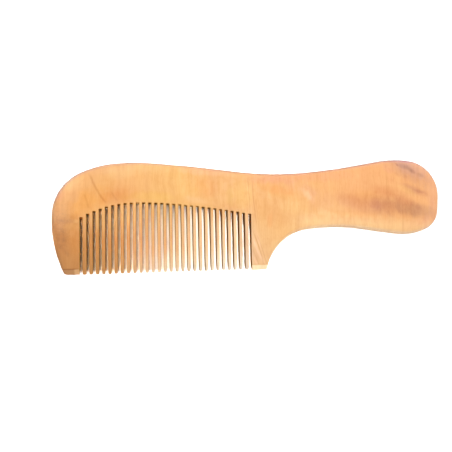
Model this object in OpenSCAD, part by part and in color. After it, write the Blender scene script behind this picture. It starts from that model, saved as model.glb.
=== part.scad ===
// Wooden dressing comb with a handle, cut from one flat board.
// Millimetres. The comb lies flat: +X runs along it towards the handle, +Y towards the
// spine, the teeth point to -Y, and +Z is up through its thickness.
// The origin is the middle of the footprint, on the flat underside.

/* [Board] */
// Thickness of the board
board_thick = 4.6; // [4:0.2:7]
// How far the rounding of the outer edge reaches in from the outline
edge_round = 1.8; // [0.8:0.1:1.8]
// Rounding left on the edge at the sawn tips
tip_edge_round = 0.5; // [0.3:0.1:0.7]

/* [Teeth] */
// Number of teeth between the two end guards
tooth_count = 28; // [12:1:28]
// Distance from one tooth to the next
tooth_pitch = 2.564; // [2.3:0.004:2.564]
// Width of the saw cut between two teeth
slot_width = 1.24; // [0.9:0.02:1.5]
// Width that each tooth keeps at its tip
tip_width = 0.8; // [0.5:0.05:1]
// Length over which a tooth narrows to its tip
tip_taper = 1.0; // [0.6:0.1:3]
// Chamfer along both long edges of each saw cut
slot_ease = 0.22; // [0.1:0.02:0.3]
// How much wider the first tooth is than the rest
first_tooth_extra = 0.26; // [0:0.02:0.4]
// How much wider the last tooth is than the rest
last_tooth_extra = 0.52; // [0:0.02:0.6]

/* [Taper of the tooth field] */
// Height above the tips where the board starts to thin towards them
taper_line = 33; // [31:0.5:36]
// How much the taper has taken off each face at the tip line
taper_depth = 1.2; // [0.4:0.1:1.4]

/* [Tip bevel] */
// Distance of the bevel's upper line from the lowest tip
bevel_line = 2.3; // [1.2:0.1:4]
// How much more the bevel has taken off each face at the tips
bevel_depth = 0.6; // [0.2:0.1:0.7]

/* [Root line of the saw cuts] */
// Height of the longest cut's root above the tips
root_height = 30.2; // [24:0.1:30.5]
// How much lower the root of the first cut is
root_drop_first = 6.1; // [0:0.1:8]
// How much lower the root of the last cut is
root_drop_last = 4.9; // [0:0.1:8]

/* [Finish] */
// Which piece to draw

/* [Hidden] */

// The outline is walked clockwise in the plan, seen from above, from the left guard's
// corner on the tip line, over the spine and around the handle, to the right guard's
// corner. Every row is one bend, tangent to the one before it. A bend with a radius
// above zero bulges outwards, one below zero is hollow.
RADIUS = 0;
LENGTH = 1;
outline = [
    //  radius, length along the edge
    [   1.5,  1.7 ],   // corner of the left guard
    [  52,   25.3 ],   // outer edge of the left guard
    [  20.8, 22.1 ],   // shoulder
    [  42,   14.1 ],
    [  90,   15.9 ],   // crest of the spine
    [ 600,   35.9 ],   // long fall of the spine
    [-164,   37.2 ],   // waist
    [-360,   31.2 ],   // rise of the handle
    [  94,   10.8 ],
    [  52,   10.7 ],   // crest of the handle
    [  16.6, 25.2 ],   // upper end of the handle
    [ 159,    6.6 ],   // end of the handle
    [  11.4, 12.2 ],   // lower end of the handle
    [  30.1, 15.5 ],   // belly of the handle
    [ 730,   17.8 ],
    [ -99,   28.9 ],   // hollow under the handle
    [ -22.7, 27.1 ],   // throat
    [   0.8,  1.07]    // corner of the right guard
];
start_x = -84.04;       // where the walk begins, on the tip line
start_heading = 180;    // along the tip line, away from the handle
step_length = 6;        // longest side of the outline's polygon
step_turn = 5;          // largest bend at one corner of it
overall_height = 51.3;  // tips to the crest of the handle

// Saw cuts, counted from the left guard
slot_count = tooth_count + 1;
even_slot_x = -78.1;    // first cut, if all teeth were equal
slot_drift = 0.2;       // furthest that the drift takes a cut from its even place
crest_x = -52.6;        // the longest cut
reach_first = crest_x - even_slot_x;
reach_last = 46;
power_first = 2.4;      // how squarely the root line falls away on each side
power_last = 1.62;

taper_slope = taper_depth / taper_line;
taper_at_bevel = taper_slope * (taper_line - bevel_line);
bevel_slope = (taper_depth + bevel_depth - taper_at_bevel) / bevel_line;
run_out_x = 35;         // the taper has run out at this x, towards the handle
run_out_slope = taper_depth / (run_out_x - 2);

round_steps = 5;        // flat steps of the edge rounding on each face
over = 0.01;            // a cutter ends this far above the face it leaves
round_height = min(edge_round, board_thick / 2 - 0.3);

function degrees_of(row) = row[LENGTH] / abs(row[RADIUS]) * 180 / PI;
function steps_of(row) = max(ceil(row[LENGTH] / step_length), ceil(degrees_of(row) / step_turn));

// State of the walk: x, y, heading in degrees.
// One step along a bend ends on the same circle at the next corner.
function advance(s, row, part) =
    let (turn = -sign(row[RADIUS]) * degrees_of(row) * part,
         chord = 2 * abs(row[RADIUS]) * sin(abs(turn) / 2),
         way = s[2] + turn / 2)
    [s[0] + chord * cos(way), s[1] + chord * sin(way), s[2] + turn];

// State at the start of row i
function state_at(i) = i == 0 ? [start_x, 0, start_heading] : advance(state_at(i - 1), outline[i - 1], 1);

// All corners of the outline: x, y and heading at each
corners = [
    for (i = [0 : len(outline) - 1])
        let (s = state_at(i), row = outline[i], n = steps_of(row))
        for (k = [0 : n - 1]) advance(s, row, k / n),
    state_at(len(outline))
];
corner_count = len(corners);

// The rounding fades out towards the sawn tips
function ease_at(c) = min(edge_round, tip_edge_round + 0.3 * max(0, c[1]));

// A corner moved in from the outline by d, square to its heading
function inset(c, d) = [c[0] + d * sin(c[2]), c[1] - d * cos(c[2])];

// Section of what the edge rounding takes away, as [reach in from the outline as a share
// of the rounding, height from the face], from the wall up to the face and back outside
function rounding_section() = concat(
    [[-1.5, -round_height]],
    [for (k = [0 : round_steps]) let (a = 90 * k / round_steps)
        [1 - cos(a), -round_height * (1 - sin(a)) + (k == round_steps ? over : 0)]],
    [[1, 1], [-1.5, 1]]
);

// Middle of cut i: evenly spaced, but the outermost cuts stand a little further out, and the
// spacing drifts a little to the left in the left half and to the right in the right half
function slot_x(i) = even_slot_x + i * tooth_pitch
    - first_tooth_extra * exp(-i) + last_tooth_extra * exp(i + 1 - slot_count)
    - slot_drift * exp(-pow((i / slot_count - 0.17) * 6.4, 2))
    + slot_drift * exp(-pow((i / slot_count - 0.86) * 5.8, 2));

// Height of the root of the cut at x above the tips
function root_at(x) = x < crest_x
    ? root_height - root_drop_first * pow((crest_x - x) / reach_first, power_first)
    : root_height - root_drop_last * pow((x - crest_x) / reach_last, power_last);

// What the edge rounding takes away all around the upper face
module rounding() {
    n = corner_count;
    section = rounding_section();
    m = len(section);
    polyhedron(
        points = [for (c = corners) for (q = section)
            let (p = inset(c, q[0] * ease_at(c))) [p[0], p[1], board_thick + q[1]]],
        faces = [for (i = [0 : n - 1]) for (k = [0 : m - 1])
            let (i2 = (i + 1) % n, k2 = (k + 1) % m)
            each [[i * m + k, i * m + k2, i2 * m + k], [i * m + k2, i2 * m + k2, i2 * m + k]]],
        convexity = 10
    );
}

// The board with its rounded outer edge
module board() {
    difference() {
        linear_extrude(height = board_thick) polygon([for (c = corners) [c[0], c[1]]]);
        both_faces() rounding();
    }
}

// Puts a cutter of the upper face on the lower face too
module both_faces() {
    children();
    translate([0, 0, board_thick]) mirror([0, 0, 1]) children();
}

// What the taper takes off one face: thinner towards the tips, and running out
// towards the handle
module taper() {
    intersection() {
        translate([-100, 0, 0]) rotate([90, 0, 90]) linear_extrude(height = 160)
            polygon([[-2, board_thick - taper_slope * (taper_line + 2)],
                     [taper_line + 5, board_thick + taper_slope * 5],
                     [taper_line + 5, board_thick + 2], [-2, board_thick + 2]]);
        translate([0, 60, 0]) rotate([90, 0, 0]) linear_extrude(height = 65)
            polygon([[-95, board_thick - run_out_slope * (run_out_x + 95)],
                     [run_out_x + 5, board_thick + run_out_slope * 5],
                     [run_out_x + 5, board_thick + 1], [-95, board_thick + 1]]);
    }
}

// One saw cut from below the tips up to its root
module slot(x) {
    w = slot_width / 2;
    translate([x - w, -2, -1]) cube([slot_width, root_at(x) + 2, board_thick + 2]);
}

// The groove that chamfers both long edges of a cut on the tapered face
module groove(x) {
    w = slot_width / 2;
    e = slot_ease;
    translate([x, taper_line, board_thick]) rotate([atan(taper_slope), 0, 0])
        translate([0, root_at(x) - taper_line, 0]) rotate([90, 0, 0])
            linear_extrude(height = root_at(x) + 2)
                polygon([[-w - e - 0.8, 0.8], [-w + 0.1, -e - 0.1],
                         [w - 0.1, -e - 0.1], [w + e + 0.8, 0.8]]);
}

// The mouth of a saw cut, which narrows the tips on both sides of it
module mouth(x) {
    w = slot_width / 2;
    grow = (tooth_pitch - slot_width - tip_width) / 2;
    translate([x, 0, -1]) linear_extrude(height = board_thick + 2)
        polygon([[-w, tip_taper], [-w - grow * (1 + 1 / tip_taper), -1],
                 [w + grow * (1 + 1 / tip_taper), -1], [w, tip_taper]]);
}

// The wedge that is ground off one face along all the tips
module bevel() {
    face = board_thick - taper_at_bevel;
    translate([-100, 0, 0]) rotate([90, 0, 90]) linear_extrude(height = 120)
        polygon([[bevel_line + 1, face + bevel_slope], [-2, face - bevel_slope * (bevel_line + 2)],
                 [-2, board_thick + 1], [bevel_line + 1, board_thick + 1]]);
}

module comb() {
    color("BurlyWood") translate([0, -overall_height / 2, 0]) difference() {
        board();
        both_faces() taper();
        for (i = [0 : slot_count - 1]) slot(slot_x(i));
        for (i = [0 : slot_count - 1]) mouth(slot_x(i));
        for (i = [0 : slot_count - 1]) both_faces() groove(slot_x(i));
        both_faces() bevel();
    }
}

comb();
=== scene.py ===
"""Wooden comb with a handle, lying flat on a pale floor. Metres, in the frame of the CAD."""

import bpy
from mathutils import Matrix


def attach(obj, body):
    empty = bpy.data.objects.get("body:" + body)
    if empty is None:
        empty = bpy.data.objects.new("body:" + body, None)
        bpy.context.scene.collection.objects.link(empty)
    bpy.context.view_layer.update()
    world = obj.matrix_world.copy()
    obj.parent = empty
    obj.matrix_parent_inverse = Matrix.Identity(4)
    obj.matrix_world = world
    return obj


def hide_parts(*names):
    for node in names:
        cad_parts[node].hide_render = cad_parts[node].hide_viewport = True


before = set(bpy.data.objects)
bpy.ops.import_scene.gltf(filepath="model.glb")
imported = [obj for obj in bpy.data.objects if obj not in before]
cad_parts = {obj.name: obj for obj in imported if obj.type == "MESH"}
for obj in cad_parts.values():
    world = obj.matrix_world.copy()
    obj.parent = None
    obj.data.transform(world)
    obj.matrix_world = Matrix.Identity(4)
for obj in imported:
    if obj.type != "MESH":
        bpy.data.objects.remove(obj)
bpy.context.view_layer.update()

import math

import bpy
from mathutils import Matrix, Vector, kdtree, noise
from mathutils.geometry import delaunay_2d_cdt

MM = 0.001

# --------------------------------------------------------------------------------------
# Named sizes, in millimetres, as in the CAD source
# --------------------------------------------------------------------------------------
THICK = 4.6
EDGE_ROUND = 1.8
TIP_EDGE_ROUND = 0.5
PITCH = 2.564
TEETH = 28
SLOT = 1.24
SLOT_ROUND = 0.16          # rounding of the long edges of the teeth
TIP_LENGTH = 1.0           # a tooth rounds off to its tip over this length
FIRST_TOOTH_EXTRA = 0.26
LAST_TOOTH_EXTRA = 0.52
TAPER_LINE = 33.0          # the board thins from here down to the tips
TAPER_DEPTH = 1.2
RUN_OUT_X = 35.0           # the taper has run out here, towards the handle
RUN_OUT_SLOPE = TAPER_DEPTH / (RUN_OUT_X - 2)
BEVEL_LINE = 2.3
BEVEL_DEPTH = 0.6
ROOT_HEIGHT = 30.2
ROOT_DROP_FIRST = 6.1
ROOT_DROP_LAST = 4.9
EVEN_SLOT_X = -78.1
SLOT_DRIFT = 0.2
CREST_X = -52.6
REACH_FIRST = CREST_X - EVEN_SLOT_X
REACH_LAST = 46.0
HEIGHT = 51.3
START_X = -84.04

# radius (hollow bends below zero), length along the edge
OUTLINE = [
    (1.5, 1.7), (52, 25.3), (20.8, 22.1), (42, 14.1), (90, 15.9), (600, 35.9),
    (-164, 37.2), (-360, 31.2), (94, 10.8), (52, 10.7), (16.6, 25.2), (159, 6.6),
    (11.4, 12.2), (30.1, 15.5), (730, 17.8), (-99, 28.9), (-22.7, 27.1), (0.8, 1.07),
]


def wobble(a, b, scale=1.0, seed=0.0):
    """Smooth noise from -1 to 1, the same each run."""
    return noise.noise(Vector((a * scale + seed, b * scale - 3.1 * seed, 0.37 * seed)))


def walk():
    """The outer edge, clockwise seen from above, from the left guard's corner on the tip line."""
    x, y, h = START_X, 0.0, math.pi
    out = [(x, y)]
    for radius, length in OUTLINE:
        n = max(math.ceil(length / 0.8), math.ceil(length / abs(radius) / math.radians(4.0)), 3)
        turn = -length / radius / n
        for _ in range(n):
            chord = 2 * abs(radius) * math.sin(abs(turn) / 2)
            way = h + turn / 2
            x, y, h = x + chord * math.cos(way), y + chord * math.sin(way), h + turn
            out.append((x, y))
    return out


EDGE = walk()
TIP_SLOPE = EDGE[-1][1] / (EDGE[-1][0] - START_X)


def tip_line(x):
    return (x - START_X) * TIP_SLOPE


def root_line(x):
    if x < CREST_X:
        return ROOT_HEIGHT - ROOT_DROP_FIRST * ((CREST_X - x) / REACH_FIRST) ** 2.4
    return ROOT_HEIGHT - ROOT_DROP_LAST * ((x - CREST_X) / REACH_LAST) ** 1.62


def slot_x(i):
    share = i / (TEETH + 1)
    drift = math.exp(-((share - 0.86) * 5.8) ** 2) - math.exp(-((share - 0.17) * 6.4) ** 2)
    return (EVEN_SLOT_X + PITCH * i - FIRST_TOOTH_EXTRA * math.exp(-i)
            + LAST_TOOTH_EXTRA * math.exp(i - TEETH) + SLOT_DRIFT * drift)


# --------------------------------------------------------------------------------------
# The comb: one closed loop around the board and every tooth, then rings of rounding
# --------------------------------------------------------------------------------------
def comb_loop():
    """Points (x, y, rounding, cut) of the plan, clockwise. cut is 1 on sawn walls."""
    loop = []
    for x, y in EDGE:
        loop.append((x, y, min(EDGE_ROUND, TIP_EDGE_ROUND + 0.3 * max(0.0, y)), 0.0))

    half = (PITCH - SLOT) / 2
    rows = [BEVEL_LINE + d for d in (0.0, 0.15, 0.4, 0.9)] + [4.0, 5.5, 7.0]
    rows += [7.0 + 1.75 * k for k in range(1, 14)]
    shares = [0.86, 0.72, 0.58, 0.46, 0.35, 0.26, 0.18, 0.11, 0.06, 0.025]

    def wall(i, side):
        """x of the slot's wall at height y: saw cuts are never quite true."""
        base = slot_x(i) + side * SLOT / 2
        lean = 0.030 * wobble(i, side, 0.9, 5.0)
        flare = 0.09 * min(1.0, max(0.0, (i - 8) / 10))      # thinner tips towards the handle

        def at(y):
            low = max(0.0, 1 - y / 9)
            return base + lean * (1 - y / 30) + 0.008 * wobble(y * 0.16, i * 7.3 + side, 1.0, 2.0) + side * flare * low * low
        return at

    def guard_corner(i, side, rising):
        """The corner between a guard's bottom and the nearest saw cut."""
        at = wall(i, side)
        pts = []
        for t in [1.0] + shares + [0.0]:
            yb = tip_line(at(0))
            y = yb + 1.5 * t
            x = at(y) + side * 0.20 * (1 - t ** 0.5)
            pts.append((x, y, 0.12 + (SLOT_ROUND - 0.12) * min(1.0, t * 3 + 0.3), 0.5 + 0.5 * t))
        return list(reversed(pts)) if rising else pts

    def side_rows(i, side, rising):
        at = wall(i, side)
        root = root_line(slot_x(i)) + 0.10 * wobble(i, 3.0, 1.7, 9.0)
        ys = [y for y in rows if y < root - 0.5]
        pts = [(at(y), y, SLOT_ROUND, 1.0) for y in ys + [root - 0.35]]
        r = 0.14
        for a in (0, 30, 60, 90):
            ca, sa = math.cos(math.radians(a)), math.sin(math.radians(a))
            pts.append((at(root - r) - side * r * (1 - ca), root - r + r * sa, 0.12, 1.4 if a else 1.15))
        return pts if rising else list(reversed(pts))

    def tooth_tip(i):
        """From the right wall of tooth i, round its tip, to its left wall."""
        right, left = wall(i + 1, -1), wall(i, 1)
        xc = (right(3) + left(3)) / 2 + 0.05 * wobble(i, 1.0, 2.3, 4.0)
        low = tip_line(xc) + 0.36 * (i / TEETH) ** 1.5 - 0.06 + 0.08 * wobble(i, 8.0, 1.3, 6.0)
        length = 0.85 * TIP_LENGTH + 0.2 * wobble(i, 5.0, 1.9, 3.0)
        square = 3.0 + 0.6 * wobble(i, 2.0, 2.9, 8.0)
        pts = []
        for t in shares:
            y = low + length * t
            wide = (1 - (1 - t) ** square) ** (1 / square)
            hw_r, hw_l = (right(y) - xc) * wide, (xc - left(y)) * wide
            ease = min(SLOT_ROUND, 0.55 * hw_r)
            pts.append(((xc + hw_r, y, ease, 0.5 + 0.3 * t), (xc - hw_l, y, ease, 0.5 + 0.3 * t)))
        mid = (xc, low, 0.05, 0.5)
        return [p[0] for p in pts] + [mid] + [p[1] for p in reversed(pts)]

    # along the right guard's bottom to the last slot
    last = TEETH
    x0, x1 = EDGE[-1][0], wall(last, 1)(0) + 0.36
    n = 14
    for k in range(1, n):
        x = x0 + (x1 - x0) * k / n
        loop.append((x, tip_line(x), 0.40, 0.3))
    loop += guard_corner(last, 1, True)
    for i in range(last, -1, -1):
        loop += side_rows(i, 1, True)
        loop += side_rows(i, -1, False)
        if i:
            loop += tooth_tip(i - 1)
    loop += guard_corner(0, -1, False)
    x0, x1 = wall(0, -1)(0) - 0.36, START_X
    n = 12
    for k in range(1, n):
        x = x0 + (x1 - x0) * k / n
        loop.append((x, tip_line(x), 0.40, 0.3))
    return loop


def soft(d, width):
    """d where it is above zero, nothing below, with a bend of the given width."""
    d /= width
    return width * (d if d > 30 else math.log1p(math.exp(d)))


def half_thickness(x, y):
    """Half the board's thickness: tapered over the teeth, then bevelled at the tips."""
    taper = TAPER_DEPTH / TAPER_LINE * soft(TAPER_LINE - y, 1.5)
    run_out = RUN_OUT_SLOPE * soft(RUN_OUT_X - x, 2.0)
    blend = min(0.05, 0.5 * math.sqrt(run_out * taper))
    depth = (run_out + taper - math.sqrt((run_out - taper) ** 2 + 4 * blend ** 2)) / 2
    at_line = TAPER_DEPTH * (1 - BEVEL_LINE / TAPER_LINE)
    slope = (TAPER_DEPTH + BEVEL_DEPTH - at_line) / BEVEL_LINE - TAPER_DEPTH / TAPER_LINE
    h = THICK / 2 - depth - slope * soft(BEVEL_LINE + 0.10 * wobble(x, 0.0, 0.35, 1.0) - y, 0.09)
    near = (y - tip_line(x)) / 0.45
    if near < 1:
        h *= math.sqrt(max(0.0, 1 - 0.5 * (1 - max(near, -0.1)) ** 2))
    return h


def build_comb():
    loop = comb_loop()
    # drop points that fall together
    tidy = []
    for p in loop:
        if not tidy or math.hypot(p[0] - tidy[-1][0], p[1] - tidy[-1][1]) > 0.01:
            tidy.append(p)
    loop = tidy
    n = len(loop)

    # square to the edge, pointing into the wood, scaled so that offsets keep their width
    inward = []
    for k in range(n):
        (ax, ay), (bx, by), (cx, cy) = (loop[k - 1][:2], loop[k][:2], loop[(k + 1) % n][:2])
        u, v = Vector((bx - ax, by - ay)).normalized(), Vector((cx - bx, cy - by)).normalized()
        nu, nv = Vector((u.y, -u.x)), Vector((v.y, -v.x))
        m = (nu + nv)
        m = m.normalized() if m.length > 1e-6 else nu
        inward.append(m / max(0.72, m.dot(nu)))

    steps = 6
    levels = [math.radians(90 * k / steps) for k in range(steps + 1)]
    verts, cuts, wear_and_sheen = [], [], []
    rings = []

    def add_ring(a, up):
        ring = []
        for k, (x, y, e, c) in enumerate(loop):
            px = x + inward[k].x * e * (1 - math.cos(a))
            py = y + inward[k].y * e * (1 - math.cos(a))
            high = min(e, THICK / 2 - 0.3)
            rel = (THICK / 2 - high * (1 - math.sin(a))) / (THICK / 2)
            h = half_thickness(px, py)
            ring.append(len(verts))
            verts.append((px, py, THICK / 2 + (rel if up else -rel) * h))
            cuts.append(c * (1 - math.sin(a)) ** 0.6)
            wear_and_sheen.append(math.sin(a) * math.cos(a) * 2 * (1 - c))
        return ring

    for a in reversed(levels):
        rings.append(add_ring(a, False))
    for a in levels:
        rings.append(add_ring(a, True))

    faces = []
    for lower, upper in zip(rings, rings[1:]):
        for k in range(n):
            m = (k + 1) % n
            faces.append((lower[m], lower[k], upper[k], upper[m]))

    # the two faces of the board
    rim = [Vector(verts[v][:2]) for v in rings[-1]]
    tree = kdtree.KDTree(n)
    for k, p in enumerate(rim):
        tree.insert((p.x, p.y, 0), k)
    tree.balance()

    def inside(x, y):
        hit = False
        for k in range(n):
            a, b = rim[k], rim[k - 1]
            if (a.y > y) != (b.y > y) and x < (b.x - a.x) * (y - a.y) / (b.y - a.y) + a.x:
                hit = not hit
        return hit

    grid = []
    spacing = 1.5
    for j in range(1, int(HEIGHT / (spacing * 0.87)) + 1):
        y = j * spacing * 0.87
        for i in range(int(182 / spacing)):
            x = -91 + (i + 0.5 * (j % 2)) * spacing
            _, _, d = tree.find((x, y, 0))
            if d > 0.75 and inside(x, y):
                grid.append((x, y))
    for lo, hi in ((-85.0, -78.3), (-5.0, 3.0)):
        for y in (1.5, 2.0, 2.2, 2.4, 2.6, 3.0):
            x = lo
            while x < hi:
                _, _, d = tree.find((x, y, 0))
                if d > 0.28 and inside(x, y) and all(math.hypot(x - g[0], y - g[1]) > 0.15 for g in grid[-400:]):
                    grid.append((x, y))
                x += 0.55
    points = rim + [Vector(g) for g in grid]
    edges = [(k, (k + 1) % n) for k in range(n)]
    got = delaunay_2d_cdt(points, edges, [], 1, 1e-7)
    out_points, tris, origin = got[0], got[2], got[3]
    for up in (True, False):
        where = []
        ring = rings[-1] if up else rings[0]
        for p, src in zip(out_points, origin):
            src = [s for s in src if s < n]
            if src:
                where.append(ring[src[0]])
                continue
            h = half_thickness(p.x, p.y)
            where.append(len(verts))
            verts.append((p.x, p.y, THICK / 2 + (h if up else -h)))
            cuts.append(0.0)
            wear_and_sheen.append(0.0)
        for t in tris:
            a, b, c = (where[i] for i in t)
            pa, pb, pc = (out_points[i] for i in t)
            area = (pb - pa).cross(pc - pa)
            if abs(area) < 1e-9:
                continue
            if (area > 0) == up:
                faces.append((a, b, c))
            else:
                faces.append((a, c, b))

    me = bpy.data.meshes.new("comb_wood")
    me.from_pydata([(x * MM, (y - HEIGHT / 2) * MM, z * MM) for x, y, z in verts], [], faces)
    me.validate()
    layer = me.attributes.new("cut", "FLOAT", "POINT")
    layer.data.foreach_set("value", cuts)
    layer = me.attributes.new("rim", "FLOAT", "POINT")
    layer.data.foreach_set("value", wear_and_sheen)
    me.update()
    me.polygons.foreach_set("use_smooth", [True] * len(me.polygons))
    ob = bpy.data.objects.new("comb_wood", me)
    bpy.context.scene.collection.objects.link(ob)
    return ob


comb = build_comb()
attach(comb, "root")
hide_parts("comb")


# --------------------------------------------------------------------------------------
# Wood
# --------------------------------------------------------------------------------------
def linear(r, g, b):
    def one(v):
        v /= 255.0
        return v / 12.92 if v <= 0.04045 else ((v + 0.055) / 1.055) ** 2.4
    return (one(r), one(g), one(b), 1.0)


class Graph:
    """Short names for the node tree of one material."""

    def __init__(self, name):
        self.mat = bpy.data.materials.new(name)
        self.mat.use_nodes = True
        self.t = self.mat.node_tree
        self.t.nodes.clear()

    def put(self, socket, value):
        if isinstance(value, bpy.types.NodeSocket):
            self.t.links.new(value, socket)
        elif value is not None:
            socket.default_value = value

    def math(self, op, a, b=None, c=None, clamp=False):
        n = self.t.nodes.new("ShaderNodeMath")
        n.operation, n.use_clamp = op, clamp
        for s, v in zip(n.inputs, (a, b, c)):
            self.put(s, v)
        return n.outputs[0]

    def add(self, a, b): return self.math("ADD", a, b)
    def sub(self, a, b): return self.math("SUBTRACT", a, b)
    def mul(self, a, b): return self.math("MULTIPLY", a, b)

    def xyz(self, x, y, z):
        n = self.t.nodes.new("ShaderNodeCombineXYZ")
        for s, v in zip(n.inputs, (x, y, z)):
            self.put(s, v)
        return n.outputs[0]

    def split(self, v):
        n = self.t.nodes.new("ShaderNodeSeparateXYZ")
        self.put(n.inputs[0], v)
        return n.outputs

    def vec(self, op, a, b=None, scale=None):
        n = self.t.nodes.new("ShaderNodeVectorMath")
        n.operation = op
        self.put(n.inputs[0], a)
        if b is not None:
            self.put(n.inputs[1], b)
        if scale is not None:
            self.put(n.inputs[3], scale)
        return n.outputs[0]

    def noise(self, vector, scale=1.0, detail=3.0, rough=0.55, warp=0.0):
        n = self.t.nodes.new("ShaderNodeTexNoise")
        n.noise_dimensions = "3D"
        self.put(n.inputs["Vector"], vector)
        for k, v in (("Scale", scale), ("Detail", detail), ("Roughness", rough), ("Distortion", warp)):
            n.inputs[k].default_value = v
        return n.outputs[0]

    def range(self, v, lo, hi, out_lo=0.0, out_hi=1.0, smooth=True):
        n = self.t.nodes.new("ShaderNodeMapRange")
        n.interpolation_type = "SMOOTHSTEP" if smooth else "LINEAR"
        n.clamp = True
        self.put(n.inputs[0], v)
        for s, x in zip(n.inputs[1:5], (lo, hi, out_lo, out_hi)):
            s.default_value = x
        return n.outputs[0]

    def mix(self, fac, a, b, kind="MIX"):
        n = self.t.nodes.new("ShaderNodeMix")
        n.data_type, n.blend_type, n.clamp_factor = "RGBA", kind, True
        self.put(n.inputs[0], fac)
        self.put(n.inputs[6], a)
        self.put(n.inputs[7], b)
        return n.outputs[2]

    def attribute(self, name):
        n = self.t.nodes.new("ShaderNodeAttribute")
        n.attribute_name = name
        return n.outputs["Fac"]


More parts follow.
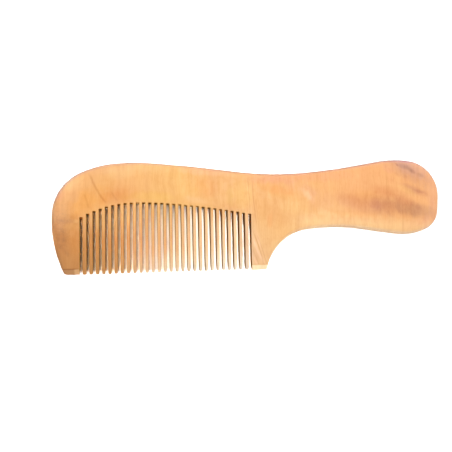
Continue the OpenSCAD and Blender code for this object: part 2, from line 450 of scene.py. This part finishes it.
# Marks in the wood: middle x, height above the tips, half length, half width, turn, softness
# of the edge, kind (T tints what is there, M mixes a colour in), colour, strength, and 1 for
# a mark that lies on the upper face only.
MARKS = (
    (-82.3, 38.3, 5.0, 2.9, 42, 0.90, "M", (226, 188, 138), 0.40, 0),  # pale shoulder
    (-86.7, 32.8, 2.9, 2.0, 62, 0.70, "T", (1.02, 0.97, 1.15), 0.80, 0),
    (-86.6, 19.5, 3.9, 9.1, -1, 0.80, "T", (0.92, 0.92, 1.04), 1.00, 1),  # handling stain on the left guard
    (-85.4, 12.1, 3.2, 6.2, 20, 0.80, "T", (0.95, 0.94, 0.98), 0.90, 1),
    (-85.1, 22.4, 4.8, 0.9, -4, 0.80, "T", (0.88, 0.88, 0.96), 0.90, 1),
    (-81.5, 20.1, 3.6, 1.3, -0, 0.90, "M", (204, 154, 98), 0.40, 1),
    (-80.3, 22.4, 1.0, 0.9, -0, 0.90, "M", (222, 178, 122), 0.55, 1),  # pale chip beside the first cut
    (-85.8, 18.3, 1.2, 0.8, -61, 0.90, "T", (0.86, 0.86, 0.92), 0.70, 1),
    (-85.2, 14.5, 1.3, 0.9, -52, 0.90, "T", (0.84, 0.84, 0.90), 0.70, 1),
    (-86.6, 11.7, 1.3, 0.7, -61, 0.90, "T", (0.86, 0.84, 0.88), 0.70, 1),
    (-84.0, 9.1, 1.5, 0.8, -56, 0.90, "T", (0.84, 0.82, 0.86), 0.70, 1),
    (-74.7, 30.4, 8.3, 4.6, 31, 0.90, "T", (1.04, 0.95, 0.69), 1.00, 0),  # orange strip along the roots
    (-63.6, 33.4, 7.5, 3.8, 6, 0.90, "T", (0.94, 0.80, 0.66), 1.00, 0),
    (-81.9, 37.9, 9.2, 4.1, 47, 0.90, "T", (1.08, 1.10, 1.08), 1.00, 0),
    (-51.8, 45.2, 14.7, 2.6, 1, 0.90, "T", (1.02, 1.10, 1.24), 1.00, 0),  # painted sheen along the crest
    (-84.3, 18.7, 5.6, 10.3, -1, 0.90, "T", (1.0, 0.97, 0.84), 1.00, 0),
    (-84.7, 23.2, 4.8, 1.9, -0, 0.90, "T", (0.91, 0.89, 0.88), 1.00, 1),
    (-71.4, 35.5, 7.4, 3.8, 16, 0.90, "T", (0.99, 0.94, 0.82), 0.90, 0),
    (-80.7, 14.0, 2.2, 9.9, -1, 0.90, "T", (1.05, 1.02, 0.94), 0.90, 1),
    (-26.6, 36.7, 7.2, 4.0, 0, 0.90, "T", (1.0, 0.97, 0.86), 0.90, 0),
    (-5.9, 30.0, 5.1, 6.8, 0, 0.90, "T", (1.05, 1.08, 1.10), 1.00, 0),
    (-0.0, 24.1, 4.2, 6.8, -0, 0.90, "T", (1.0, 0.98, 0.89), 1.00, 0),
    (-68.1, 44.1, 10.9, 1.7, 9, 0.70, "M", (214, 165, 120), 0.35, 0),
    (-62.3, 42.9, 5.0, 2.6, 1, 0.80, "M", (214, 172, 116), 0.45, 0),
    (-49.8, 32.6, 11.2, 2.2, 0, 0.70, "T", (1.0, 1.02, 0.82), 0.90, 0),  # golden strip above the cuts
    (-25.3, 36.7, 4.9, 5.3, 0, 0.70, "T", (1.0, 0.93, 0.90), 0.90, 0),  # orange patch
    (-14.6, 33.2, 1.8, 5.4, 8, 0.70, "T", (1.0, 1.06, 0.90), 0.80, 0),
    (-29.0, 31.3, 5.8, 1.5, -10, 0.90, "M", (206, 163, 112), 0.50, 0),
    (-9.5, 34.5, 4.2, 7.7, 0, 0.90, "T", (1.05, 1.14, 1.05), 1.00, 0),
    (-25.6, 43.8, 11.7, 1.6, -4, 0.80, "M", (206, 160, 122), 0.40, 0),
    (18.6, 42.1, 23.9, 2.3, 3, 0.90, "T", (0.98, 0.90, 1.05), 0.90, 0),  # pinkish band along the upper edge
    (5.1, 40.6, 9.5, 2.1, -2, 0.80, "T", (0.98, 0.90, 1.04), 0.80, 0),
    (8.8, 36.0, 8.6, 2.1, -7, 0.70, "T", (1.0, 0.91, 0.88), 0.90, 0),
    (13.7, 38.8, 3.3, 1.9, -19, 0.80, "T", (0.96, 0.90, 0.98), 0.80, 0),
    (21.8, 36.1, 6.2, 3.3, -27, 0.70, "T", (0.95, 0.92, 1.12), 0.90, 0),  # grey-pink patch with a pale streak
    (21.7, 34.0, 4.2, 1.5, -41, 0.95, "M", (214, 168, 124), 0.42, 0),
    (14.3, 28.7, 6.8, 4.1, -0, 0.95, "M", (202, 160, 102), 0.55, 0),  # pale yellow spots
    (29.7, 24.9, 3.0, 3.7, -0, 0.95, "M", (206, 170, 116), 0.35, 0),
    (24.2, 21.3, 4.4, 1.8, -0, 0.80, "M", (204, 168, 112), 0.40, 0),
    (3.9, 22.3, 1.5, 3.6, -8, 0.70, "T", (1.0, 0.90, 0.82), 0.90, 0),  # orange spot on the guard
    (28.9, 30.1, 6.9, 4.2, -9, 0.80, "T", (0.96, 0.93, 0.98), 0.80, 0),
    (3.1, 37.3, 7.5, 2.8, -9, 0.90, "T", (1.0, 0.96, 0.86), 0.90, 0),
    (9.7, 34.2, 7.1, 2.3, -14, 0.90, "T", (1.0, 0.96, 0.80), 0.90, 0),
    (30.9, 29.6, 7.8, 4.8, -19, 0.90, "T", (1.02, 1.05, 1.14), 0.90, 0),
    # painted sheen at the throat
    (9.6, 15.9, 5.2, 3.7, 33, 0.90, "T", (1.06, 1.13, 1.24), 1.00, 0),
    (39.3, 27.7, 5.6, 4.7, -0, 0.90, "T", (1.03, 1.10, 1.16), 0.90, 0),
    (5.6, 11.0, 1.8, 3.7, -35, 0.80, "M", (206, 170, 116), 0.50, 0),
    (-3.0, 10.7, 5.8, 0.7, -71, 0.90, "M", (222, 184, 150), 0.55, 1),  # pale streaks between the growth lines
    (-0.4, 5.2, 4.0, 0.6, -63, 0.90, "M", (220, 182, 146), 0.45, 1),
    (-3.6, 4.4, 3.1, 0.5, -61, 0.90, "M", (220, 180, 146), 0.40, 1),
    (-1.7, 13.3, 4.5, 0.6, -75, 0.90, "M", (216, 176, 138), 0.45, 1),
    (-2.4, 6.2, 4.0, 2.7, -61, 0.90, "T", (0.95, 0.93, 0.98), 0.80, 1),
    (40.9, 31.0, 5.5, 3.8, -5, 0.95, "T", (0.94, 0.88, 0.92), 0.70, 0),
    (52.1, 30.1, 16.6, 3.8, -6, 0.80, "T", (0.90, 0.84, 0.90), 1.00, 0),  # brown band through the handle
    (66.6, 28.7, 14.3, 4.4, -7, 0.70, "T", (0.84, 0.78, 0.79), 1.00, 0),
    (78.2, 26.2, 10.7, 3.4, -8, 0.65, "T", (0.83, 0.83, 0.90), 1.00, 0),
    (57.1, 26.0, 6.7, 2.2, -6, 0.80, "T", (0.93, 0.93, 0.98), 0.90, 0),
    (75.0, 36.2, 4.6, 2.3, -26, 0.80, "T", (0.93, 0.95, 0.99), 0.90, 0),
    (82.5, 26.2, 7.1, 7.8, -0, 0.80, "T", (0.99, 1.00, 1.08), 0.90, 0),
    (65.6, 49.3, 22.7, 2.2, 1, 0.80, "T", (1.00, 1.02, 1.10), 0.90, 0),
    (55.7, 29.6, 3.0, 2.7, -19, 0.60, "T", (0.95, 0.92, 1.05), 0.80, 0),
    (75.5, 46.0, 12.5, 4.6, -25, 0.75, "T", (0.80, 0.80, 1.06), 1.00, 0),  # mauve shade round the knot
    (63.8, 46.1, 3.1, 2.0, -18, 0.70, "T", (0.97, 0.93, 1.10), 0.80, 0),
    (71.3, 47.9, 2.6, 1.0, -20, 0.90, "T", (0.72, 0.73, 0.80), 0.80, 1),  # dark streaks of the knot
    (74.8, 46.7, 2.7, 1.1, -38, 0.90, "T", (0.68, 0.68, 0.70), 0.80, 1),
    (76.6, 45.5, 1.7, 1.0, -28, 0.60, "T", (0.80, 0.76, 0.80), 0.80, 1),
    (80.5, 43.9, 2.0, 1.0, -28, 0.90, "T", (0.80, 0.80, 0.78), 0.80, 1),
    (68.2, 48.7, 1.2, 0.6, -38, 0.60, "T", (0.80, 0.74, 0.78), 0.90, 1),
    (67.9, 44.0, 1.8, 0.9, -33, 0.90, "T", (0.88, 0.82, 0.84), 0.70, 1),
    (72.2, 43.0, 1.9, 0.9, -23, 0.90, "T", (0.88, 0.84, 0.86), 0.70, 1),
    (76.6, 36.7, 7.9, 1.7, -18, 0.80, "T", (0.86, 0.80, 0.88), 1.00, 0),  # second, fainter streak
    (79.8, 35.8, 2.7, 0.7, -14, 0.60, "T", (0.86, 0.82, 0.88), 0.80, 0),
    (64.6, 41.7, 2.1, 1.9, 1, 0.70, "T", (0.97, 0.93, 0.94), 0.80, 0),
    (61.7, 35.4, 7.8, 2.9, -7, 0.90, "T", (0.92, 0.81, 0.77), 1.00, 0),
    (70.5, 31.6, 6.8, 2.5, -19, 0.90, "T", (0.91, 0.83, 0.85), 1.00, 0),
    (64.2, 33.5, 7.8, 3.9, -11, 0.90, "T", (0.95, 0.93, 0.92), 1.00, 0),
    (50.2, 32.9, 10.4, 3.8, 0, 0.90, "T", (1.0, 0.97, 0.83), 1.00, 0),
    (30.1, 23.1, 7.4, 1.9, -0, 0.90, "T", (1.0, 0.94, 0.91), 0.90, 0),
    (69.3, 19.5, 14.4, 2.4, -0, 0.90, "T", (1.0, 0.95, 0.92), 0.90, 0),
    (45.2, 24.4, 11.7, 1.2, -4, 0.90, "T", (1.05, 1.09, 1.07), 0.90, 0),
    (87.3, 33.6, 3.0, 11.8, 0, 0.90, "T", (1.0, 1.03, 1.28), 1.00, 0),  # painted sheen on the handle's rim, with the next two marks
    (78.3, 47.3, 12.5, 4.1, -25, 0.90, "T", (1.03, 1.09, 1.32), 1.00, 0),
    (83.3, 21.3, 4.8, 3.5, 40, 0.90, "T", (1.02, 1.03, 1.18), 1.00, 0),
    (71.8, 36.9, 4.6, 1.6, -26, 0.70, "M", (200, 152, 92), 0.45, 0),
    (79.6, 31.6, 5.2, 1.8, -20, 0.70, "M", (204, 152, 98), 0.40, 0),
    (76.2, 19.9, 6.5, 2.4, 22, 0.80, "T", (1.0, 0.97, 1.0), 0.60, 0),
)

# Thin growth lines: upper end x, height, lower end x, height, bow, width, strength.
LINES = (
    (-74.9, 43.1, -67.5, 29.1, -1.0, 0.87, 0.56),
    (-76.9, 34.2, -75.1, 27.4, -0.1, 0.78, 0.34),
    (-65.9, 35.1, -63.2, 30.6, -0.3, 0.78, 0.30),
    (-6.4, 42.3, -5.5, 25.1, 0.1, 0.39, 0.45),
    (-4.3, 41.4, -2.4, 19.6, -0.3, 0.39, 0.50),
    (-2.8, 33.2, -0.8, 15.1, -0.2, 0.35, 0.25),
    (-4.7, 18.3, 0.7, 1.2, 0.5, 0.35, 0.55),
    (-2.9, 16.9, 2.1, 1.6, 0.3, 0.35, 0.45),
    (-4.8, 9.8, -1.6, 1.7, 0.2, 0.35, 0.40),
    (70.0, 27.7, 69.6, 15.7, 0.1, 0.41, 0.35),
    (62.2, 45.1, 62.1, 33.5, 0.1, 0.41, 0.22),
)


def wood():
    g = Graph("comb_wood")
    tc = g.t.nodes.new("ShaderNodeTexCoord")
    p = g.vec("SCALE", tc.outputs["Object"], scale=1000.0)          # millimetres
    X, Y, Z = g.split(p)
    Yd = g.add(Y, HEIGHT / 2)                                        # height above the tips
    geo = g.t.nodes.new("ShaderNodeNewGeometry")
    NX, NY, NZ = g.split(geo.outputs["Normal"])

    # slow drift of the fibres, so that no line is ruled straight
    drift = g.noise(g.xyz(g.mul(X, 0.035), g.mul(Y, 0.05), g.mul(Z, 0.05)), detail=2.0)
    Xw = g.add(X, g.mul(g.sub(drift, 0.5), 5.0))

    # two noises that make the edges of all marks ragged
    ragged = g.mul(g.sub(g.noise(g.xyz(g.mul(X, 0.22), g.mul(Yd, 0.14), g.mul(Z, 0.1)), detail=4.0, rough=0.62), 0.5), 1.5)
    crumbly = g.mul(g.sub(g.noise(g.xyz(g.mul(X, 0.95), g.mul(Yd, 0.60), g.mul(Z, 0.3)), detail=3.0, rough=0.6), 0.5), 1.1)
    upper = g.range(Z, 1.6, 3.0)

    def mark(cx, cy, rx, ry, turn, soft):
        """1 in the middle of a soft ellipse, 0 outside."""
        c, s = math.cos(math.radians(turn)), math.sin(math.radians(turn))
        dx, dy = g.sub(X, cx), g.sub(Yd, cy)
        u = g.add(g.mul(dx, c / rx), g.mul(dy, s / rx))
        v = g.sub(g.mul(dy, c / ry), g.mul(dx, s / ry))
        r = g.math("SQRT", g.add(g.mul(u, u), g.mul(v, v)))
        r = g.add(r, ragged if max(rx, ry) > 2.5 else crumbly)
        return g.range(r, max(0.05, 1.0 - soft), 1.0 + soft * 0.6, 1.0, 0.0)

    def line(x_top, y_top, x_low, y_low, bow, width, seed=0.0):
        """A thin dark growth line from (x_top, y_top) down to (x_low, y_low)."""
        t = g.mul(g.sub(Yd, y_low), 1 / (y_top - y_low))
        mid = g.mul(g.mul(t, g.sub(1.0, t)), 4 * bow)
        x_at = g.add(g.add(x_low, g.mul(t, x_top - x_low)), mid)
        stray = g.mul(g.sub(g.noise(g.xyz(seed, g.mul(Yd, 0.35), 0.0), detail=2.0), 0.5), 0.5)
        off = g.math("ABSOLUTE", g.sub(g.sub(X, x_at), stray))
        across = g.range(off, width * 0.1, width, 1.0, 0.0)
        ends = g.mul(g.range(t, 0.0, 0.14), g.range(t, 0.82, 1.0, 1.0, 0.0))
        return g.mul(across, ends)

    # ---- ground colour: pinkish peach at the left end, golden over the cuts, then tan
    col = g.mix(g.range(X, -90, -66), linear(219, 164, 110), linear(211, 158, 98))
    col = g.mix(g.range(X, -66, -38), col, linear(203, 154, 88))
    col = g.mix(g.range(X, -38, -12), col, linear(194, 144, 87))
    col = g.mix(g.range(X, 20, 50), col, linear(194, 141, 90))
    col = g.mix(g.range(X, 62, 88), col, linear(198, 145, 95))

    # paler and yellower below the middle of the handle
    below = g.sub(Yd, g.sub(26.0, g.mul(g.sub(X, 18.0), 0.07)))
    pale = g.mul(g.range(g.add(below, g.mul(ragged, 3.0)), -4.0, 2.0, 1.0, 0.0), g.range(X, 8, 26))
    col = g.mix(g.mul(pale, 0.85), col, linear(202, 164, 116))

    # the teeth and both guards: dull and brown on the left, pale on the right
    teeth = g.mix(g.range(X, -88, -70), linear(194, 135, 80), linear(190, 127, 67))
    teeth = g.mix(g.range(X, -66, -46), teeth, linear(206, 158, 107))
    teeth = g.mix(g.range(X, -44, -22), teeth, linear(206, 171, 130))
    teeth = g.mix(g.range(X, -7, -1), teeth, linear(199, 155, 104))
    onset = g.add(g.add(Yd, g.mul(ragged, 7.0)), g.range(X, -77, -82, 0.0, 3.5))
    onset = g.add(onset, g.mul(g.range(X, -81, -77), g.range(X, -64, -46, 5.0, 0.0)))
    col = g.mix(g.mul(g.range(onset, 18.0, 30.0, 1.0, 0.0), g.range(X, -2, 10, 1.0, 0.0)), col, teeth)
    dull = g.mul(g.range(Yd, 2.0, 16.0, 1.0, 0.0), g.range(X, -76, -60, 1.0, 0.0))
    col = g.mix(dull, col, (0.90, 0.93, 0.94, 1), "MULTIPLY")
    # painted glare: the right-hand teeth turn cream towards their tips
    painted_tip_glare = g.mul(g.range(g.add(Yd, g.mul(crumbly, 2.0)), 2.0, 14.0, 1.0, 0.0), g.range(X, -64, -42))
    col = g.mix(g.mul(painted_tip_glare, g.range(X, -8, -4, 0.65, 0.15)), col, g.mix(g.range(X, -30, -16), linear(218, 186, 146), linear(224, 198, 164)))
    # paler and bluer near the tips of most teeth
    paler_bluer_near_tips = g.mul(g.range(Yd, 1.0, 12.0, 1.0, 0.0), g.mul(g.range(X, -80, -68), g.range(X, -6.5, -5.0, 1.0, 0.0)))
    col = g.mix(paler_bluer_near_tips, col, (0.94, 1.07, 1.24, 1), "MULTIPLY")
    col = g.mix(g.mul(g.range(Yd, 17.0, 24.0, 1.0, 0.0), g.mul(g.range(X, -12.5, -9.0), g.range(X, -5.5, -6.0))), col, (0.86, 0.82, 0.84, 1), "MULTIPLY")

    # ---- one tone for each tooth, and slow clouds over the board
    each = g.noise(g.xyz(g.mul(X, 0.39), g.mul(Y, 0.012), g.mul(Z, 0.02)), detail=0.0)
    col = g.mix(g.range(each, 0.34, 0.50, 0.16, 0.0), col, (0.90, 0.86, 0.80, 1), "MULTIPLY")
    col = g.mix(g.range(each, 0.52, 0.68, 0.0, 0.20), col, (1.03, 1.05, 1.10, 1), "MULTIPLY")
    clouds = g.noise(g.xyz(g.mul(X, 0.05), g.mul(Y, 0.07), g.mul(Z, 0.05)), detail=4.0, rough=0.6)
    col = g.mix(g.range(clouds, 0.40, 0.60, 0.5, 0.0), col, (0.97, 0.93, 0.92, 1), "MULTIPLY")
    col = g.mix(g.range(clouds, 0.52, 0.70, 0.0, 0.5), col, (1.02, 1.05, 1.02, 1), "MULTIPLY")

    # ---- marks
    for cx, cy, rx, ry, turn, soft, kind, colour, strength, top in MARKS:
        m = g.mul(mark(cx, cy, rx, ry, turn, soft), strength)
        if top:
            m = g.mul(m, upper)
        if kind == "T":
            col = g.mix(m, col, (*colour, 1), "MULTIPLY")
        else:
            col = g.mix(m, col, linear(*colour))
    grime = g.noise(g.xyz(g.mul(X, 0.95), g.mul(Yd, 1.25), g.mul(Z, 0.4)), detail=4.0, rough=0.7)
    stain = g.mul(mark(-87.2, 19.0, 4.6, 11.5, 0, 0.9), g.mul(g.range(grime, 0.44, 0.62), upper))
    col = g.mix(g.mul(stain, 0.75), col, (0.84, 0.84, 0.92, 1), "MULTIPLY")
    for k, (x1, y1, x0, y0, bow, width, strength) in enumerate(LINES):
        col = g.mix(g.mul(line(x1, y1, x0, y0, bow, width, 3.7 * k), strength), col, (0.74, 0.62, 0.52, 1), "MULTIPLY")

    # ---- fibres run across the comb, from spine to tips
    fibre = g.noise(g.xyz(g.mul(Xw, 1.7), g.mul(Y, 0.10), g.mul(Z, 1.2)), detail=5.0, rough=0.62)
    streak = g.noise(g.xyz(g.mul(Xw, 0.36), g.mul(Y, 0.03), g.mul(Z, 0.25)), detail=3.0, rough=0.5)
    pores = g.noise(g.xyz(g.mul(Xw, 4.5), g.mul(Y, 0.55), g.mul(Z, 3.0)), detail=2.0, rough=0.5)
    mottle = g.noise(g.xyz(g.mul(X, 0.55), g.mul(Y, 0.40), g.mul(Z, 0.5)), detail=4.0, rough=0.65)
    col = g.mix(g.range(fibre, 0.36, 0.66, 0.0, 0.55), col, (0.92, 0.87, 0.84, 1), "MULTIPLY")
    col = g.mix(g.range(streak, 0.50, 0.70, 0.0, 0.50), col, (0.94, 0.89, 0.88, 1), "MULTIPLY")
    col = g.mix(g.range(streak, 0.30, 0.46, 0.50, 0.0), col, (1.03, 1.07, 1.08, 1), "MULTIPLY")
    col = g.mix(g.range(pores, 0.60, 0.76, 0.0, 0.50), col, (0.84, 0.76, 0.70, 1), "MULTIPLY")
    col = g.mix(g.range(mottle, 0.46, 0.66, 0.0, 0.45), col, (0.95, 0.90, 0.88, 1), "MULTIPLY")

    # ---- the sawn and bevelled edges, with painted light and shade on them
    bevel = g.mul(g.range(g.add(Yd, g.mul(crumbly, 0.10)), 2.15, 2.40, 1.0, 0.0), upper)
    # painted shade: the left guard's bevel, which faces the tips, is darker
    left_bevel = g.mul(bevel, g.range(X, -77.5, -78.6))
    col = g.mix(g.mul(left_bevel, 0.9), col, g.mix(g.range(g.add(X, crumbly), -81.6, -80.6), linear(174, 124, 80), linear(204, 156, 106)))
    # painted shade along the creases where the bevels start
    edge_line = g.mul(g.range(g.math("ABSOLUTE", g.sub(Yd, 2.35)), 0.12, 0.42, 1.0, 0.0), upper)
    col = g.mix(g.mul(edge_line, g.mul(g.range(X, -77.5, -78.6), g.range(X, -79.6, -81.4, 0.35, 0.9))), col, (0.72, 0.66, 0.62, 1), "MULTIPLY")
    # painted highlight: the right guard's bevel is cream
    right_bevel = g.mul(bevel, g.range(X, -5.6, -4.8))
    col = g.mix(g.mul(right_bevel, g.range(fibre, 0.3, 0.7, 0.95, 0.6)), col, linear(232, 203, 158))
    col = g.mix(g.mul(edge_line, g.range(X, -5.6, -4.8, 0.0, 0.5)), col, (0.84, 0.72, 0.62, 1), "MULTIPLY")

    cut = g.attribute("cut")             # 0 on the faces, 1 on sawn walls, above that where a cut ends
    # the cut walls' colour holds painted light: paler on the left, where the walls in view face the key
    sawn = g.mix(g.range(X, -62, -40), linear(214, 164, 98), linear(192, 142, 92))
    wall = g.mix(g.range(fibre, 0.3, 0.7, 0.0, 0.5), sawn, linear(178, 126, 66))
    col = g.mix(g.range(cut, 0.45, 0.95), col, wall)
    # painted shade on the walls facing right, greenish on the left, and below it on the walls facing left
    flank_shade = g.mul(g.range(cut, 0.04, 0.35), g.range(NX, 0.05, 0.40))
    col = g.mix(g.mul(flank_shade, g.range(X, -62, -46)), col, (0.50, 0.44, 0.38, 1), "MULTIPLY")
    col = g.mix(g.mul(flank_shade, g.range(X, -52, -66)), col, (0.76, 0.80, 0.62, 1), "MULTIPLY")
    shaded = g.mul(g.range(cut, 0.04, 0.35), g.range(NX, -0.05, -0.40))
    col = g.mix(g.mul(shaded, g.mul(g.range(X, -58, -44), g.range(X, -12, -26))), col, (0.50, 0.45, 0.40, 1), "MULTIPLY")
    # painted light: the ends of the cuts at the roots are paler
    col = g.mix(g.range(cut, 1.0, 1.35), col, linear(226, 176, 108))

    # ---- the rounded outer edge: painted shade on its sides, deepest where end grain shows and on sides facing the spine; a painted highlight on edges facing the tips; a painted sheen along the rounding, where handling has also polished the crest
    side = g.range(g.add(g.math("ABSOLUTE", NZ), g.range(NY, -0.10, 0.30, 0.35, -0.12)), 0.80, 0.25)
    side = g.mul(side, g.range(cut, 0.0, 0.2, 1.0, 0.0))
    end_grain_and_side_shade = g.mul(side, g.range(g.math("ABSOLUTE", NY), 0.2, 0.7, 0.55, 1.0))
    col = g.mix(end_grain_and_side_shade, col, (0.60, 0.56, 0.58, 1), "MULTIPLY")
    # painted shade on the sides facing the spine
    col = g.mix(g.mul(side, g.range(NY, 0.2, 0.6)), col, (0.50, 0.46, 0.50, 1), "MULTIPLY")
    outer = g.range(cut, 0.0, 0.2, 1.0, 0.0)
    # painted highlight on the edges facing the tips, painted shade on the edges facing the spine
    col = g.mix(g.mul(outer, g.range(NY, -0.05, -0.55)), col, (1.08, 1.16, 1.32, 1), "MULTIPLY")
    col = g.mix(g.mul(outer, g.range(NY, 0.05, 0.40)), col, (0.90, 0.88, 1.08, 1), "MULTIPLY")
    rim = g.mul(g.attribute("rim"), g.range(ragged, -0.25, 0.25))
    # painted sheen along the middle of the rounding
    col = g.mix(g.mul(g.attribute("rim"), 0.8), col, (1.01, 1.04, 1.20, 1), "MULTIPLY")

    # the rounding at the left end is paler
    paler_left_end_rim = g.mul(g.attribute("rim"), g.mul(g.range(X, -86.0, -90.0), g.range(Yd, 24.0, 14.0)))
    col = g.mix(paler_left_end_rim, col, (1.30, 1.30, 1.26, 1), "MULTIPLY")

    # ---- surface
    rough = g.add(g.range(fibre, 0.35, 0.65, 0.50, 0.60), g.range(mottle, 0.4, 0.6, 0.0, 0.06))
    rough = g.sub(rough, g.mul(rim, 0.10))
    grain = g.add(g.mul(fibre, 0.6), g.mul(pores, 0.4))
    bump = g.t.nodes.new("ShaderNodeBump")
    bump.inputs["Strength"].default_value = 0.35
    bump.inputs["Distance"].default_value = 0.00005
    g.t.links.new(grain, bump.inputs["Height"])

    out = g.t.nodes.new("ShaderNodeOutputMaterial")
    bsdf = g.t.nodes.new("ShaderNodeBsdfPrincipled")
    g.put(bsdf.inputs["Base Color"], col)
    g.put(bsdf.inputs["Roughness"], rough)
    bsdf.inputs["Specular IOR Level"].default_value = 0.25
    g.t.links.new(bump.outputs[0], bsdf.inputs["Normal"])
    g.t.links.new(bsdf.outputs[0], out.inputs[0])
    return g.mat


comb.data.materials.append(wood())

# --------------------------------------------------------------------------------------
# Floor, light, camera
# --------------------------------------------------------------------------------------
def floor():
    me = bpy.data.meshes.new("floor")
    s = 3.0
    me.from_pydata([(-s, -s, 0), (s, -s, 0), (s, s, 0), (-s, s, 0)], [], [(0, 1, 2, 3)])
    ob = bpy.data.objects.new("floor", me)
    bpy.context.scene.collection.objects.link(ob)
    m = bpy.data.materials.new("floor_pale")
    m.use_nodes = True
    b = m.node_tree.nodes["Principled BSDF"]
    b.inputs["Base Color"].default_value = (0.86, 0.86, 0.86, 1)
    b.inputs["Roughness"].default_value = 0.9
    b.inputs["Specular IOR Level"].default_value = 0.1
    me.materials.append(m)
    return ob


ground = floor()


def lamp(name, at, aim, size, level, colour=(1, 1, 1), cone=None, only=None):
    """A round soft light. level is what it sends a white surface that faces it at aim.
    With a cone, in metres across at aim, it is a beam that fades out towards its edge."""
    light = bpy.data.lights.new(name, "SPOT" if cone else "AREA")
    reach = (Vector(at) - Vector(aim)).length
    light.energy, light.color = level * (math.pi * reach) ** 2, colour
    if cone:
        light.energy *= 4
        light.spot_size, light.spot_blend = 2 * math.atan(cone / 2 / reach), 1.0
        light.shadow_soft_size = size / 2
    else:
        light.shape, light.size = "DISK", size
    ob = bpy.data.objects.new(name, light)
    bpy.context.scene.collection.objects.link(ob)
    ob.location = at
    ob.rotation_euler = (Vector(aim) - Vector(at)).to_track_quat("-Z", "Y").to_euler()
    if only:
        ob.light_linking.receiver_collection = only
    return ob


only_floor = bpy.data.collections.new("only_floor")
only_floor.objects.link(ground)
only_comb = bpy.data.collections.new("only_comb")
only_comb.objects.link(comb)

# The key stands low over the right half and a little behind the spine. Four low lights keep
# the floor around the comb evenly pale. Soft beams reach the floor between the teeth: from
# the upper left, dim and warm into the left cuts, bright into the right ones. The lower a beam
# stands behind the spine, the further from the roots it starts. Small steep beams reach the
# floor right below the roots.
lamp("key", (0.05, 0.09, 0.27), (0.0, 0.0, 0.0), 0.09, 1.70, only=only_comb)
for k, (side, front) in enumerate(((1, 1), (-1, 1), (-1, -1), (1, -1))):
    lamp("wash_%d" % k, (1.2 * side, 0.45 * front, 1.0), (0, 0, 0), 0.5, 1.10, only=only_floor)
for k, (behind, left, right) in enumerate(((0.05, 0.48, 1.00), (0.40, 0.22, 0.42), (0.80, 0.16, 0.38), (1.6, 0.22, 0.45), (3.0, 0.50, 0.90))):
    lamp("left_beam_%d" % k, (-0.152, behind, 0.80), (-0.048, -0.010, 0.0), 0.07, left, (1.0, 0.58, 0.24), 0.078, only_floor)
    lamp("right_beam_%d" % k, (-0.125, behind, 0.80), (-0.005, -0.010, 0.0), 0.07, right, (1.0, 0.92, 0.78), 0.110, only_floor)
for k, (x, y, lean, level, colour) in enumerate((
        (-0.077, 0.002, 0.002, 0.18, (1.0, 0.42, 0.14)), (-0.059, 0.008, 0.015, 0.22, (1.0, 0.48, 0.20)),
        (-0.048, 0.009, 0.095, 0.24, (1.0, 0.60, 0.34)), (-0.036, 0.009, 0.100, 0.34, (1.0, 0.74, 0.54)),
        (-0.024, 0.008, 0.110, 0.22, (1.0, 0.72, 0.50)))):
    lamp("root_beam_%d" % k, (x - lean, y + 0.02, 0.80), (x, y, 0.0), 0.016, level, colour, 0.027, only_floor)
lamp("tip_beam", (-0.190, 4.2, 0.80), (-0.058, -0.016, 0.0), 0.07, 2.2, (1.0, 0.84, 0.66), 0.090, only_floor)


def surroundings():
    """A dim warm room, brighter low down on every side."""
    world = bpy.data.worlds.new("studio")
    world.use_nodes = True
    t = world.node_tree
    coord = t.nodes.new("ShaderNodeTexCoord")
    split = t.nodes.new("ShaderNodeSeparateXYZ")
    t.links.new(coord.outputs["Generated"], split.inputs[0])
    level = t.nodes.new("ShaderNodeMapRange")
    level.interpolation_type = "SMOOTHSTEP"
    t.links.new(split.outputs[2], level.inputs[0])
    for s, v in zip(level.inputs[1:5], (0.50, 0.65, 0.45, 0.01)):
        s.default_value = v
    back = t.nodes["Background"]
    back.inputs[0].default_value = (1.0, 0.90, 0.76, 1)
    t.links.new(level.outputs[0], back.inputs[1])
    bpy.context.scene.world = world


surroundings()

# The camera looks down from above the teeth and leans towards the handle.
FOCAL = 450.0                                    # pixels of a 452 x 452 picture
LEAN = Vector((-86.992, 33.0, FOCAL)).normalized()   # straight down, in camera axes (right, down, forward)
ROLL, ABOVE, FOOT = -0.02239, 195.302, (-54.654, -19.639)   # radians, mm above the upper face, mm


def camera():
    right = (Vector((1, 0, 0)) - LEAN * LEAN.x).normalized()
    down = LEAN.cross(right)
    c, s = math.cos(ROLL), math.sin(ROLL)
    ex = c * right + s * down            # the part's +X in camera axes
    ey = s * right - c * down            # the part's +Y
    ez = -LEAN                           # the part's +Z
    # rows: camera right, up and back, written in the part's axes
    rot = Matrix(((ex.x, ey.x, ez.x), (-ex.y, -ey.y, -ez.y), (-ex.z, -ey.z, -ez.z))).transposed()
    cam = bpy.data.cameras.new("camera")
    cam.sensor_width = 36.0
    cam.lens = FOCAL / 452.0 * 36.0
    cam.clip_start, cam.clip_end = 0.01, 20.0
    ob = bpy.data.objects.new("camera", cam)
    bpy.context.scene.collection.objects.link(ob)
    ob.matrix_world = Matrix.Translation(Vector((FOOT[0], FOOT[1], ABOVE + THICK)) * MM) @ rot.to_4x4()
    bpy.context.scene.camera = ob
    return ob


camera()
bpy.context.scene.view_settings.view_transform = "Standard"
bpy.context.scene.view_settings.look = "None"
